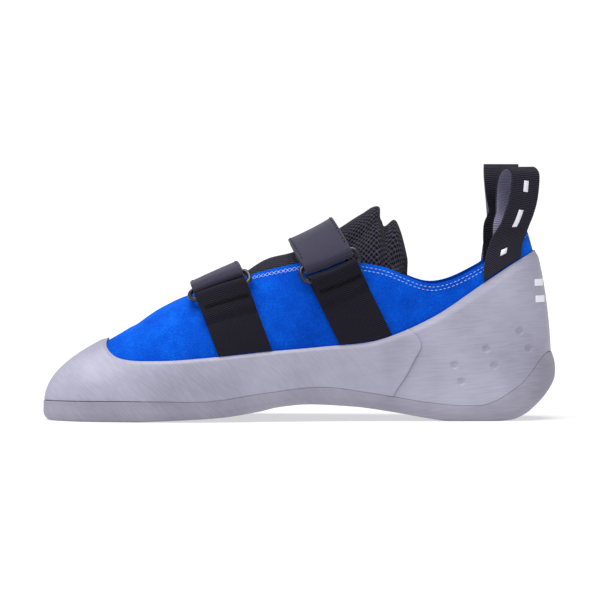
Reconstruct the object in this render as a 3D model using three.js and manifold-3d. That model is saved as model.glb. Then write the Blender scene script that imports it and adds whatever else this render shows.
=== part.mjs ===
// A right climbing shoe with two straps, empty, standing on its sole.
// Millimetres. X runs from heel to toe, Y to the medial side, Z up.
// The origin is the flat spot under the heel.
import * as THREE from "three";
import Module from "manifold-3d";

const wasm = await Module();
wasm.setup();

// Sizes of the whole shoe
const shoeLength = 270; // over the rubber, toe to heel
const heelSetback = 39.7; // from the heel's flat spot to the back of the heel
const ballWidth = 97; // over the rubber at the ball
const instepHeight = 84; // floor to the top edge beside the rear strap
const ankleHeight = 140; // floor to the point where the heel's sections meet, above the collar
const archHeight = 8.9; // floor to the sole under the arch
const tailHeight = 35.8; // floor to the tip of the sole's tail on the heel

// Walls and clearances
const upperWall = 1.6;
const randWall = 1.8;
const rimWall = 2.1; // the sole's cupped edge
const soleThickness = 4.2;
const tailBulge = 1.6; // how much thicker the sole is at the heel's back
const cornerRadius = 1.8; // between the last's floor and its side
const insoleThickness = 1.5;
const marginWidth = 9; // the upper turned in under the foot
const gap = 0.3; // between pieces that touch
const bandGap = 0.5; // between the upper and what lies over it
const tongueGap = 1; // between the upper and the tongue under it
const ringGap = 0.6; // between the ring's wire and the webbing round it
const overlapStep = 0.9; // the front rand's ends stand above the heel rand

// Bands, straps, rings and loops
const bandWidth = 27;
const goreThickness = 1.4;
const strapThickness = 2;
const ringWire = 2.5;
const ringSpan = 8.2; // between the ring's two long bars
const ringOverhang = 2.6; // ring beyond the band's edge, to the wire's middle
const webWidth = 18.4;
const webThickness = 1.5;
const loopHeight = 134; // floor to the top of the higher pull loop
const tonguePad = 4.5;

// What follows from them
const skinBuild = upperWall + gap + randWall;
const underBuild = upperWall + gap + soleThickness;
const backBuild = upperWall + gap + rimWall + tailBulge;
const lastBack = -heelSetback + backBuild;
const lastLength = shoeLength - backBuild - skinBuild;
const lastWidth = ballWidth - 2 * skinBuild;

// The last, a row for each section from heel to toe. along: share of the last's length, medial and
// lateral: the outline's sides as shares of its width. ridgeAlong, ridgeSide: the top line's place.
// instep and ankle: its height as shares of those sizes. full, lean: how square the section is, up and
// inward. seam: the sole's edge above the floor, as a share of tailHeight. rand, collar: the rand's and
// the upper's top edges, as shares of instepHeight.
const lastColumns = [
  "along", "medial", "lateral", "ridgeAlong", "ridgeSide", "instep", "ankle", "full", "lean",
  "seam", "rand", "collar",
];
const lastTable = [
  [0.0, 0.0, 0.0, 0.177, 0.0, 0.0, 1.0, 2.05, 2.05, 0.995, 1.056, 1.203],
  [0.016, 0.16, -0.16, 0.177, 0.0, 0.0, 1.0, 2.05, 2.05, 0.94, 1.03, 1.172],
  [0.06, 0.268, -0.272, 0.177, 0.0, 0.0, 1.0, 1.95, 1.95, 0.52, 0.958, 1.1],
  [0.131, 0.315, -0.33, 0.177, 0.0, 0.0, 1.0, 1.85, 1.85, 0.235, 0.835, 0.96],
  [0.231, 0.313, -0.368, 0.231, 0.01, 0.0, 0.95, 1.9, 1.9, 0.27, 0.643, 0.857],
  [0.338, 0.313, -0.419, 0.338, 0.03, 1.37, 0.0, 2.0, 2.0, 0.39, 0.506, 0.964],
  [0.453, 0.346, -0.463, 0.453, 0.05, 1.148, 0.0, 2.2, 2.2, 0.5, 0.464, 0.99],
  [0.568, 0.413, -0.502, 0.568, 0.065, 0.985, 0.0, 2.3, 2.3, 0.42, 0.433, 0.922],
  [0.676, 0.469, -0.525, 0.676, 0.06, 0.832, 0.0, 2.3, 2.3, 0.305, 0.396, 0.808],
  [0.775, 0.48, -0.508, 0.775, 0.05, 0.683, 0.0, 2.1, 2.1, 0.3, 0.369, 0.7],
  [0.863, 0.447, -0.435, 0.821, 0.045, 0.583, 0.0, 2.0, 1.7, 0.3, 0.375, 0.65],
  [0.945, 0.368, -0.27, 0.821, 0.045, 0.583, 0.0, 2.2, 1.1, 0.295, 0.465, 0.65],
  [1.0, 0.14, 0.14, 0.821, 0.045, 0.583, 0.0, 2.3, 0.8, 0.29, 0.485, 0.65],
];
const last = lastTable.map((row) => Object.fromEntries(lastColumns.map((name, i) => [name, row[i]])));

// The sole's underside from heel to toe: shares of lastLength, archHeight and tailHeight.
const underside = [
  { along: -0.0215, arch: 0, tail: 0.709 },
  { along: -0.016, arch: 0, tail: 0.547 },
  { along: -0.0045, arch: 0, tail: 0.405 },
  { along: 0.019, arch: 0, tail: 0.229 },
  { along: 0.0425, arch: 0, tail: 0.098 },
  { along: 0.0705, arch: 0, tail: 0.017 },
  { along: 0.1, arch: 0, tail: 0 },
  { along: 0.198, arch: 0, tail: 0 },
  { along: 0.24, arch: 0.169, tail: 0 },
  { along: 0.314, arch: 0.55, tail: 0 },
  { along: 0.39, arch: 0.854, tail: 0 },
  { along: 0.482, arch: 1, tail: 0 },
  { along: 0.539, arch: 0.854, tail: 0 },
  { along: 0.579, arch: 0.596, tail: 0 },
  { along: 0.654, arch: 0.258, tail: 0 },
  { along: 0.71, arch: 0.146, tail: 0 },
  { along: 0.777, arch: 0.056, tail: 0 },
  { along: 0.83, arch: 0, tail: 0 },
  { along: 1.0, arch: 0, tail: 0 },
];

// A smooth curve through a table's rows, with no overshoot between them.
function follow(rows, key, value, at) {
  let i = 0;
  while (i < rows.length - 2 && at > rows[i + 1][key]) i += 1;
  const slope = (k) => {
    const a = rows[k];
    const b = rows[k + 1];
    return a && b ? (b[value] - a[value]) / (b[key] - a[key]) : 0;
  };
  const tangent = (k) => {
    const before = slope(k - 1);
    const after = slope(k);
    return before * after > 0 ? (2 * before * after) / (before + after) : 0;
  };
  const width = rows[i + 1][key] - rows[i][key];
  const t = THREE.MathUtils.clamp((at - rows[i][key]) / width, 0, 1);
  const start = rows[i][value];
  const end = rows[i + 1][value];
  return (
    start * (1 + 2 * t) * (1 - t) ** 2 +
    tangent(i) * width * t * (1 - t) ** 2 +
    end * t * t * (3 - 2 * t) -
    tangent(i + 1) * width * t * t * (1 - t)
  );
}

// A value of the last's table at a station, which runs from 0 at the heel's back up the medial side
// to the toe, and back along the lateral side.
const lastRow = last.length - 1;
const turn = 2 * lastRow;

function lastValue(column, station) {
  const read = (k) => {
    const at = ((k % turn) + turn) % turn;
    const row = last[Math.min(at, turn - at)];
    return column === "side" ? (at <= lastRow ? row.medial : row.lateral) : row[column];
  };
  const k = Math.floor(station);
  const t = station - k;
  const [a, b, c, d] = [read(k - 1), read(k), read(k + 1), read(k + 2)];
  return b + 0.5 * t * (c - a + t * (2 * a - 5 * b + 4 * c - d + t * (3 * (b - c) + d - a)));
}

const alongLast = (share) => lastBack + share * lastLength;

function groundAt(x) {
  const share = (x - lastBack) / lastLength;
  return (
    follow(underside, "along", "arch", share) * archHeight +
    follow(underside, "along", "tail", share) * tailHeight
  );
}

// One section of the last, from the outline up to the ridge.
function section(station) {
  const foot = new THREE.Vector3(
    alongLast(lastValue("along", station)),
    lastValue("side", station) * lastWidth,
    0,
  );
  foot.z = groundAt(foot.x) + underBuild + cornerRadius;
  const ridge = new THREE.Vector3(
    alongLast(lastValue("ridgeAlong", station)),
    lastValue("ridgeSide", station) * lastWidth,
    lastValue("instep", station) * instepHeight + lastValue("ankle", station) * ankleHeight,
  );
  return { foot, ridge, full: lastValue("full", station), lean: lastValue("lean", station) };
}

function onSection({ foot, ridge, full, lean }, angle) {
  const inward = 1 - Math.cos(angle) ** (2 / lean);
  const upward = Math.sin(angle) ** (2 / full);
  return new THREE.Vector3(
    THREE.MathUtils.lerp(foot.x, ridge.x, inward),
    THREE.MathUtils.lerp(foot.y, ridge.y, inward),
    THREE.MathUtils.lerp(foot.z, ridge.z, upward),
  );
}

function angleAt({ foot, ridge, full }, z) {
  const share = THREE.MathUtils.clamp((z - foot.z) / (ridge.z - foot.z), 0, 1);
  return Math.asin(share ** (full / 2));
}

// The grid that all layers share: for each station a column of points, from the middle of the sole
// up to the ridge, at named levels.
const levels = [
  "middle", "half", "margin", "flat", "corner", "side", "seam", "randFoot", "randLow", "randHigh",
  "randTop", "overRand", "low", "mid", "high", "collar", "ridge",
];
const level = Object.fromEntries(levels.map((name, i) => [name, i]));
const heelCentre = -6; // the middle line under the sole runs between these two
const toeCentre = 188;
const toeCentreSide = 0.06; // a share of lastWidth
const halfIn = 0.6; // how far in the level named half lies
const flatInset = 1.6; // where the corner under the foot starts and bends, in corner radii
const cornerInset = 0.4;
const overRandGap = 2; // from the rand's edge up to what stands on it, in gaps
const stationStep = 1 / 3;

function column(station) {
  const shape = section(station);
  const { foot } = shape;
  const mirrored = section(turn - station).foot;
  const centreX = THREE.MathUtils.clamp(foot.x, heelCentre, toeCentre);
  const centreShare = foot.x > toeCentre ? lastWidth * toeCentreSide : (foot.y + mirrored.y) / 2;
  const centreY = foot.x < heelCentre ? 0 : centreShare;
  const centre = new THREE.Vector3(centreX, centreY, 0);
  const width = Math.hypot(centre.x - foot.x, centre.y - foot.y);
  const inset = (distance, rise) => {
    const point = foot.clone().lerp(centre, Math.min(1, distance / width));
    point.z = groundAt(point.x) + underBuild + rise;
    return point;
  };
  const seam = Math.max(lastValue("seam", station) * tailHeight, foot.z + gap);
  const seamAngle = angleAt(shape, seam);
  const randFoot = angleAt(shape, seam + gap);
  const randTop = angleAt(shape, lastValue("rand", station) * instepHeight);
  const overRand = randTop + (overRandGap * gap) / foot.distanceTo(shape.ridge);
  const collar = angleAt(shape, lastValue("collar", station) * instepHeight);
  const above = (share) => overRand + (collar - overRand) * share;
  const onRand = (share) => randFoot + (randTop - randFoot) * share;
  const angles = [
    0, seamAngle, randFoot, onRand(0.33), onRand(0.67), randTop, overRand,
    above(0.25), above(0.5), above(0.75), collar, Math.PI / 2,
  ];
  return [
    inset(width, 0),
    inset(width * halfIn, 0),
    inset(marginWidth, 0),
    inset(cornerRadius * flatInset, 0),
    inset(cornerRadius * cornerInset, cornerRadius * cornerInset),
    ...angles.map((angle) => onSection(shape, angle)),
  ];
}

const columns = [];
for (let k = 0; k < turn / stationStep - 1e-6; k += 1) columns.push(column(k * stationStep));

// A closed solid from four-sided faces, each a list of points. Faces that lie on each other back to
// back cancel, and those with no area drop out.
function solidOf(faces) {
  const ids = new Map();
  const points = [];
  const idOf = (p) => {
    const name = [p.x, p.y, p.z].map((v) => Math.round(v * 500)).join();
    if (!ids.has(name)) {
      ids.set(name, points.length);
      points.push(p);
    }
    return ids.get(name);
  };
  const kept = new Map();
  for (const face of faces) {
    const corners = face.map(idOf).filter((id, i, all) => id !== all[(i + 1) % all.length]);
    if (new Set(corners).size < 3) continue;
    const name = [...corners].sort((a, b) => a - b).join();
    if (kept.has(name)) kept.delete(name);
    else kept.set(name, corners);
  }
  const triangles = [];
  for (const corners of kept.values())
    for (let i = 2; i < corners.length; i += 1) triangles.push(corners[0], corners[i - 1], corners[i]);
  let volume = 0;
  for (let i = 0; i < triangles.length; i += 3) {
    const [a, b, c] = [0, 1, 2].map((k) => points[triangles[i + k]]);
    volume += a.dot(new THREE.Vector3().crossVectors(b, c));
  }
  if (volume < 0) triangles.reverse();
  const geometry = new THREE.BufferGeometry();
  geometry.setAttribute("position", new THREE.Float32BufferAttribute(points.flatMap((p) => [...p]), 3));
  geometry.setIndex(triangles);
  geometry.computeVertexNormals();
  return geometry;
}

// A solid between two grids of the same shape, the first one outside. A ring grid closes on itself
// from its last column to its first.
function between(outer, inner, ring = false) {
  const faces = [];
  const wide = outer.length;
  const high = outer[0].length;
  const spans = ring ? wide : wide - 1;
  for (let i = 0; i < spans; i += 1) {
    const n = (i + 1) % wide;
    for (let k = 0; k < high - 1; k += 1) {
      faces.push([outer[i][k], outer[n][k], outer[n][k + 1], outer[i][k + 1]]);
      faces.push([inner[i][k], inner[i][k + 1], inner[n][k + 1], inner[n][k]]);
    }
    faces.push([outer[i][0], inner[i][0], inner[n][0], outer[n][0]]);
    faces.push([outer[i][high - 1], outer[n][high - 1], inner[n][high - 1], inner[i][high - 1]]);
  }
  if (!ring)
    for (let k = 0; k < high - 1; k += 1) {
      faces.push([outer[0][k], outer[0][k + 1], inner[0][k + 1], inner[0][k]]);
      const e = wide - 1;
      faces.push([outer[e][k], inner[e][k], inner[e][k + 1], outer[e][k + 1]]);
    }
  return solidOf(faces);
}

// The outward direction at each point of the grid, straight down under the foot.
const normals = (() => {
  const faces = [];
  columns.forEach((points, i) => {
    const next = columns[(i + 1) % columns.length];
    for (let k = 0; k < points.length - 1; k += 1)
      faces.push([points[k], next[k], next[k + 1], points[k + 1]]);
  });
  const ids = new Map();
  const sums = [];
  const nameOf = (p) => [p.x, p.y, p.z].map((v) => Math.round(v * 500)).join();
  for (const [a, b, c, d] of faces) {
    const area = new THREE.Vector3().subVectors(d, b).cross(new THREE.Vector3().subVectors(c, a));
    for (const p of [a, b, c, d]) {
      const name = nameOf(p);
      if (!ids.has(name)) {
        ids.set(name, sums.length);
        sums.push(new THREE.Vector3());
      }
      sums[ids.get(name)].add(area);
    }
  }
  return columns.map((points) =>
    points.map((p, k) => {
      if (k <= level.flat) return new THREE.Vector3(0, 0, -1);
      return sums[ids.get(nameOf(p))].clone().normalize();
    }),
  );
})();

// A layer of the grid, a distance outside the last.
function layer(from, to, lift) {
  return columns.map((points, i) =>
    points.slice(level[from], level[to] + 1).map((p, k) => {
      const way = normals[i][level[from] + k];
      const far = typeof lift === "function" ? lift(p) : lift;
      return p.clone().addScaledVector(way, far);
    }),
  );
}

// The sole, a tray under the foot. out: beyond the rim's inner face, as a share of the rim's wall;
// rise: above the floor, as a share of soleThickness.
const soleEdge = [
  { level: "middle", out: 0, rise: 0 },
  { level: "half", out: 0, rise: 0 },
  { level: "margin", out: 0, rise: 0 },
  { level: "flat", out: 1.3, rise: 0 },
  { level: "corner", out: 1.75, rise: 0.3 },
  { level: "side", out: 1.9, rise: 1.1 },
];

function outsole() {
  const inner = layer("middle", "seam", upperWall + gap);
  const outer = columns.map((points, i) => {
    const way = normals[i][level.side].clone().setZ(0).normalize();
    const heelward = THREE.MathUtils.smoothstep(-points[level.side].x, -heelCentre, -lastBack);
    const rim = soleEdge.map(({ level: name, out, rise }) => {
      const p = points[level[name]].clone().addScaledVector(way, out * rimWall);
      p.z = groundAt(p.x) + rise * soleThickness;
      if (name === "side") p.addScaledVector(way, tailBulge * heelward);
      return p;
    });
    const top = points[level.seam].clone();
    const reach = upperWall + gap + rimWall;
    return [...rim, top.addScaledVector(way, reach)];
  });
  return between(outer, inner, true);
}

// Manifold solids, to cut one piece by another.
function manifoldOf(geometry) {
  return new wasm.Manifold(
    new wasm.Mesh({
      numProp: 3,
      vertProperties: new Float32Array(geometry.getAttribute("position").array),
      triVerts: new Uint32Array(geometry.index.array),
    }),
  );
}

function geometryOf(solid) {
  const mesh = solid.getMesh();
  const geometry = new THREE.BufferGeometry();
  geometry.setAttribute("position", new THREE.BufferAttribute(new Float32Array(mesh.vertProperties), 3));
  geometry.setIndex([...mesh.triVerts]);
  geometry.computeVertexNormals();
  return geometry;
}

// The rand: a band all round, parted by a slanting line on each side, where the front piece's ends
// lie over the heel piece. along: shares of shoeLength from the heel's flat spot. up: shares of
// instepHeight.
const randEnd = [
  { along: 0.19, up: 0 },
  { along: 0.171, up: 0.167 },
  { along: 0.148, up: 0.281 },
  { along: 0.13, up: 0.389 },
  { along: 0.118, up: 0.47 },
  { along: 0.124, up: 0.52 },
  { along: 0.15, up: 0.6 },
];
const overlapLength = 28; // how far the front piece's ends thicken

function rand() {
  const parting = randEnd[3].along * shoeLength;
  const overlap = (p) =>
    overlapStep * (1 - THREE.MathUtils.smoothstep(p.x, parting, parting + overlapLength));
  const low = layer("randFoot", "randTop", upperWall + gap);
  const front = between(layer("randFoot", "randTop", (p) => skinBuild + overlap(p)), low, true);
  const back = between(layer("randFoot", "randTop", skinBuild), low, true);
  const cutter = (shift) => {
    const edge = randEnd.map((p) => new THREE.Vector2(p.along * shoeLength + shift, p.up * instepHeight));
    const corners = [
      ...edge,
      new THREE.Vector2(shoeLength, instepHeight),
      new THREE.Vector2(shoeLength, -soleThickness),
      new THREE.Vector2(edge[0].x, -soleThickness),
    ];
    const block = new THREE.ExtrudeGeometry(new THREE.Shape(corners), {
      depth: 2 * ballWidth,
      bevelEnabled: false,
    });
    block.rotateX(Math.PI / 2).translate(0, ballWidth, 0);
    return manifoldOf(solidOf(facesOf(block)));
  };
  return {
    front: geometryOf(manifoldOf(front).intersect(cutter(0))),
    back: geometryOf(manifoldOf(back).subtract(cutter(-gap))),
  };
}

// The triangles of a geometry, as lists of points.
function facesOf(geometry) {
  const flat = geometry.index ? geometry.toNonIndexed() : geometry;
  const position = flat.getAttribute("position");
  const faces = [];
  for (let i = 0; i < position.count; i += 3)
    faces.push([0, 1, 2].map((k) => new THREE.Vector3().fromBufferAttribute(position, i + k)));
  return faces;
}

// A point on the last at a station and angle, and the outward direction there.
function lastPoint(station, angle) {
  return onSection(section(station), angle);
}

function lastNormal(station, angle) {
  const a = Math.min(angle, Math.PI / 2 - normalStep);
  const across = lastPoint(station + normalStep, a).sub(lastPoint(station - normalStep, a));
  const upward = lastPoint(station, a + normalStep).sub(lastPoint(station, a - normalStep));
  return upward.cross(across).normalize();
}

const overRandAngle = (station) => {
  const shape = section(station);
  const top = angleAt(shape, lastValue("rand", station) * instepHeight);
  return top + (overRandGap * gap) / shape.foot.distanceTo(shape.ridge);
};

// The two bands round the instep. along, up: where the band's middle crosses the ring's middle, as
// shares of the last's length and of instepHeight. tilt: of the band's plane. ringAt: from the ridge
// down to the ring's middle. lateralEnd: how far down the lateral side the strap's free end comes.
const frontRingAt = 19;
const rearRingAt = 27;
const bands = {
  front: { along: 0.656, up: 0.83, tilt: 20.5, ringAt: frontRingAt, lateralEnd: 0.75 },
  rear: { along: 0.436, up: 0.95, tilt: 26.5, ringAt: rearRingAt, lateralEnd: 0.7 },
};
const curveSteps = 36; // on each side
const bandStations = { lowest: 2, highest: lastRow - 1.5 };
const halvings = 30;
const normalStep = 0.02; // in stations and radians
const curves = new Map();

// The line round the instep at a distance across from a band's middle, with lengths from the ridge,
// medial side positive.
function bandCurve(band, across) {
  const key = `${band.along} ${across}`;
  if (curves.has(key)) return curves.get(key);
  const tilt = THREE.MathUtils.degToRad(band.tilt);
  const toeward = new THREE.Vector3(Math.cos(tilt), 0, -Math.sin(tilt));
  const middle = new THREE.Vector3(alongLast(band.along), 0, band.up * instepHeight);
  const offPlane = (p) => p.clone().sub(middle).dot(toeward) - across;
  const place = (share, side) => {
    let low = bandStations.lowest;
    let high = bandStations.highest;
    let found;
    for (let step = 0; step < halvings; step += 1) {
      const mid = (low + high) / 2;
      const station = side > 0 ? mid : turn - mid;
      const start = overRandAngle(station);
      const angle = start + (Math.PI / 2 - start) * share;
      found = { point: lastPoint(station, angle), normal: lastNormal(station, angle) };
      if (offPlane(found.point) > 0) high = mid;
      else low = mid;
    }
    return found;
  };
  const samples = [];
  for (let k = 0; k <= curveSteps; k += 1) samples.push(place(k / curveSteps, -1));
  for (let k = curveSteps - 1; k >= 0; k -= 1) samples.push(place(k / curveSteps, 1));
  samples[0].length = 0;
  for (let k = 1; k < samples.length; k += 1)
    samples[k].length = samples[k - 1].length + samples[k].point.distanceTo(samples[k - 1].point);
  const ridgeLength = samples[curveSteps].length;
  for (const sample of samples) sample.length -= ridgeLength;
  curves.set(key, samples);
  return samples;
}

function onBand(band, across, length, lift) {
  const samples = bandCurve(band, across);
  let k = 0;
  while (k < samples.length - 2 && samples[k + 1].length < length) k += 1;
  const [a, b] = [samples[k], samples[k + 1]];
  const t = (length - a.length) / (b.length - a.length);
  const normal = a.normal.clone().lerp(b.normal, t).normalize();
  return a.point.clone().lerp(b.point, t).addScaledVector(normal, lift);
}

const bandEnds = (band, across) => {
  const samples = bandCurve(band, across);
  return { lateral: samples[0].length, medial: samples[samples.length - 1].length };
};

// A ribbon of even thickness round a grid of middle points, rows along it and columns across.
function ribbon(middle, thickness) {
  const side = (sign) =>
    middle.map((row, i) =>
      row.map((p, j) => {
        const along = (middle[i + 1] ?? row.map((q, k) => q.clone().multiplyScalar(2).sub(middle[i - 1][k])))[j]
          .clone()
          .sub((middle[i - 1] ?? row)[j]);
        const across = (row[j + 1] ?? p).clone().sub(row[j - 1] ?? p);
        const way = along.cross(across).normalize();
        return p.clone().addScaledVector(way, (sign * thickness) / 2);
      }),
    );
  return between(side(1), side(-1));
}

const acrossSteps = 4;
const acrossPlaces = (width) =>
  Array.from({ length: acrossSteps + 1 }, (_, j) => (j / acrossSteps - 0.5) * width);

const ringLift = upperWall + bandGap + strapThickness + ringGap + ringWire / 2;

// Half a turn round one of the ring's bars, from under it to over it. side: which way it opens.
function halfTurn(barAt, side, thickness) {
  const radius = ringWire / 2 + ringGap + thickness / 2;
  return [-90, -45, 0, 45, 90].map((degrees) => {
    const angle = THREE.MathUtils.degToRad(degrees);
    return { length: barAt + side * radius * Math.cos(angle), lift: ringLift + radius * Math.sin(angle) };
  });
}

// A straight run of a path at one lift.
const run = (from, to, lift, steps) =>
  Array.from({ length: steps + 1 }, (_, k) => ({ length: from + ((to - from) * k) / steps, lift }));

// A band's ribbon from its path, which pathOf gives for each place across.
function bandRibbon(band, thickness, pathOf) {
  const paths = acrossPlaces(bandWidth).map((across) =>
    pathOf(bandEnds(band, across)).map(({ length, lift }) => onBand(band, across, length, lift)),
  );
  return ribbon(paths[0].map((_, i) => paths.map((path) => path[i])), thickness);
}

// The strap runs up the lateral side, through the ring and back over itself. settle: where it lies
// down on itself again, in thicknesses from the ring's bar, and how high above its lie.
const strapSettle = [
  { away: 2.5, above: 1.2 },
  { away: 5, above: 0.55 },
  { away: 8, above: 0.15 },
];
const strapLies = 10;
const strapSteps = { under: 10, over: 6 };

function strap(band) {
  const barAt = band.ringAt - ringSpan / 2;
  const low = upperWall + bandGap + strapThickness / 2;
  const high = low + strapThickness + gap;
  return bandRibbon(band, strapThickness, ({ lateral }) => [
    ...run(lateral, barAt - strapThickness, low, strapSteps.under),
    ...halfTurn(barAt, 1, strapThickness),
    ...strapSettle.map(({ away, above }) => ({
      length: barAt - away * strapThickness,
      lift: high + above * strapThickness,
    })),
    ...run(barAt - strapLies * strapThickness, lateral * band.lateralEnd, high, strapSteps.over),
  ]);
}

// The gore runs up from the rand, over the ring and back under itself, where it is sewn down. away:
// from the ring's bar, in thicknesses.
const goreFlap = { end: 7.5, sewn: 5, near: 2.5 };
const goreMain = { lies: 10, over: 7.5, near: 2.5, above: 1.5 };

function gore(band) {
  const barAt = band.ringAt + ringSpan / 2;
  const low = upperWall + bandGap + goreThickness / 2;
  const high = low + goreThickness + gap;
  const at = (away, lift) => ({ length: barAt + away * goreThickness, lift });
  return bandRibbon(band, goreThickness, ({ medial }) => [
    ...run(medial, barAt + goreMain.lies * goreThickness, low, 3),
    at(goreMain.over, high),
    at((goreMain.over + goreMain.near) / 2, high + (goreMain.above * goreThickness) / 3),
    at(goreMain.near, high + goreMain.above * goreThickness),
    ...halfTurn(barAt, -1, goreThickness).reverse(),
    at(goreFlap.near, low),
    at(goreFlap.sewn, low),
    at(goreFlap.end, low),
  ]);
}

const ringSides = 6;
const cornerSteps = 3;

// A flat wire ring round the strap's turn and the gore's turn.
function ring(band) {
  const half = bandWidth / 2 + ringOverhang;
  const corner = ringSpan / 2 - gap;
  const middle = [];
  for (const [x, y, start] of [[1, 1, 0], [-1, 1, 90], [-1, -1, 180], [1, -1, 270]])
    for (let k = 0; k <= cornerSteps; k += 1) {
      const angle = THREE.MathUtils.degToRad(start + (90 * k) / cornerSteps);
      const across = x * (half - corner) + corner * Math.cos(angle);
      const length = band.ringAt + y * (ringSpan / 2 - corner) + corner * Math.sin(angle);
      middle.push(onBand(band, across, length, ringLift));
      if (k === cornerSteps && x === y)
        for (let j = 1; j < acrossSteps; j += 1)
          middle.push(onBand(band, x * (0.5 - j / acrossSteps) * bandWidth, length, ringLift));
    }
  const centre = onBand(band, 0, band.ringAt, ringLift);
  const up = onBand(band, 0, band.ringAt, ringLift + 1).sub(centre);
  const rows = middle.map((p, i) => {
    const next = middle[(i + 1) % middle.length];
    const before = middle[(i + middle.length - 1) % middle.length];
    const out = next.clone().sub(before).cross(up).normalize();
    return Array.from({ length: ringSides }, (_, k) => {
      const angle = (2 * Math.PI * k) / ringSides;
      return p
        .clone()
        .addScaledVector(out, (Math.cos(angle) * ringWire) / 2)
        .addScaledVector(up, (Math.sin(angle) * ringWire) / 2);
    });
  });
  const faces = [];
  rows.forEach((row, i) => {
    const next = rows[(i + 1) % rows.length];
    row.forEach((p, k) => {
      const n = (k + 1) % ringSides;
      faces.push([p, next[k], next[n], row[n]]);
    });
  });
  return solidOf(faces);
}

// The tongue, from its front end under the throat to the folds at its top. station: on the last.
// spread: how far down its sides come, in degrees. slide, rise: where the row lies off the last, as
// shares of tonguePad. narrow: its width. innerSlide, innerRise: from there to its inner face. crown:
// how far its middle stands up between the straps.
const tongueColumns = [
  "station", "spread", "slide", "rise", "narrow", "innerSlide", "innerRise", "crown",
];
const tongueTable = [
  [8.9, 16, 0, -0.2, 1, 0, 0, 0],
  [8.4, 27, 0, 0, 1, 0, 0, 0],
  [8, 38, 0, 0, 1, 0, 0, 0],
  [7.5, 42, 0, 0, 1, 0, 0, 0],
  [7, 44, 0, 0, 1, 0, 0, 0.55],
  [6.5, 46, 0, 0, 1, 0, 0, 0],
  [6, 48, 0, 0, 1, 0, 0, 0],
  [5.6, 50, 0, 0, 1, 0, 0, 0],
  [5.3, 52, 0, 0, 1, 0, 0, 0],
  [5, 52, 0, -0.5, 0.98, 0.8, -1, 0],
  [5, 50, -0.75, -2.3, 0.93, 0.7, -1, 0],
  [5, 50, -1.75, -2.1, 0.95, 0.9, -1.5, 0],
  [5, 50, -2.5, -3.4, 0.93, 1.1, -1, 0],
  [5, 46, -3.1, -5.7, 0.88, 1.2, -0.5, 0],
  [5, 42, -3.5, -8.3, 0.82, 1.2, 0, 0],
];
const tongueFolds = tongueTable.map((row) =>
  Object.fromEntries(tongueColumns.map((name, i) => [name, row[i]])),
);
const foldNarrow = 0.8; // the inner face's width in the folds
const tongueSteps = 12;

function tongue() {
  const grids = [true, false].map((outside) =>
    tongueFolds.map((fold) => {
      const ridge = lastPoint(fold.station, Math.PI / 2);
      return Array.from({ length: tongueSteps + 1 }, (_, j) => {
        const turned = (2 * j) / tongueSteps - 1;
        const angle = Math.PI / 2 - THREE.MathUtils.degToRad(fold.spread) * Math.abs(turned);
        const station = turned > 0 ? fold.station : turn - fold.station;
        const away = fold.innerSlide || fold.innerRise;
        const depth = outside || away ? tongueGap : tongueGap + tonguePad;
        const point = lastPoint(station, angle).addScaledVector(lastNormal(station, angle), -depth);
        const shut = outside || !away ? fold.narrow : fold.narrow * foldNarrow;
        const slide = outside ? fold.slide : fold.slide + fold.innerSlide;
        const rise = outside ? fold.rise : fold.rise + fold.innerRise;
        point.x += slide * tonguePad;
        point.y = ridge.y + (point.y - ridge.y) * shut;
        point.z += (rise + fold.crown * (1 - turned ** 2) ** 3) * tonguePad;
        return point;
      });
    }),
  );
  return between(grids[0], grids[1]);
}

// The pull loops, each a webbing band sewn on outside the heel, over in a loop and down inside.
// up: above the collar, as a share of the loop's rise. back, inward: from the band's foot, as shares
// of webWidth. yaw: how far the band turns about the vertical, in degrees.
const loopColumns = ["up", "back", "inward", "yaw"];
const loopTables = {
  medial: [
    [0.17, 0.54, -0.04, 34],
    [0.4, 0.7, -0.08, 36],
    [0.66, 0.775, -0.08, 38],
    [0.84, 0.74, -0.02, 39],
    [0.93, 0.67, 0.1, 39],
    [0.955, 0.56, 0.28, 39],
    [0.91, 0.45, 0.46, 39],
    [0.77, 0.36, 0.58, 38],
    [0.54, 0.33, 0.6, 36],
    [0.31, 0.33, 0.5, 34],
    [0.12, 0.33, 0.34, 34],
  ],
  lateral: [
    [0.17, 0.2, -0.05, 28],
    [0.38, 0.18, -0.1, 14],
    [0.6, 0.14, -0.1, 5],
    [0.8, 0.11, -0.02, 0],
    [0.95, 0.1, 0.12, 0],
    [1.0, 0.1, 0.28, 0],
    [0.95, 0.1, 0.44, 0],
    [0.8, 0.11, 0.56, 0],
    [0.6, 0.14, 0.6, 5],
    [0.37, 0.2, 0.5, 14],
    [0.14, 0.2, 0.34, 28],
  ],
};
const loopPaths = Object.fromEntries(
  Object.entries(loopTables).map(([side, rows]) => [
    side,
    rows.map((row) => Object.fromEntries(loopColumns.map((name, i) => [name, row[i]]))),
  ]),
);
const loopFoot = -9.7; // the middle of the webbing's foot, ahead of the origin
const loopInside = 14; // how far the webbing comes down inside the collar
const loopFeet = [0, 0.35, 0.7, 1]; // up the outside, from the rand to just above the collar
const loopEnds = [0, 0.5, 1]; // down the inside
const loopLean = 0.7; // how much of the first row's way back the foot has made at its top
const endLean = 0.6;
const loopStations = { lowest: 0.4, highest: lastRow / 2 };
const settleSteps = 6;

function stationAt(x, z, side) {
  let low = loopStations.lowest;
  let high = loopStations.highest;
  for (let step = 0; step < halvings; step += 1) {
    const mid = (low + high) / 2;
    const shape = section(side > 0 ? mid : turn - mid);
    if (onSection(shape, angleAt(shape, z)).x > x) high = mid;
    else low = mid;
  }
  return side > 0 ? (low + high) / 2 : turn - (low + high) / 2;
}

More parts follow.
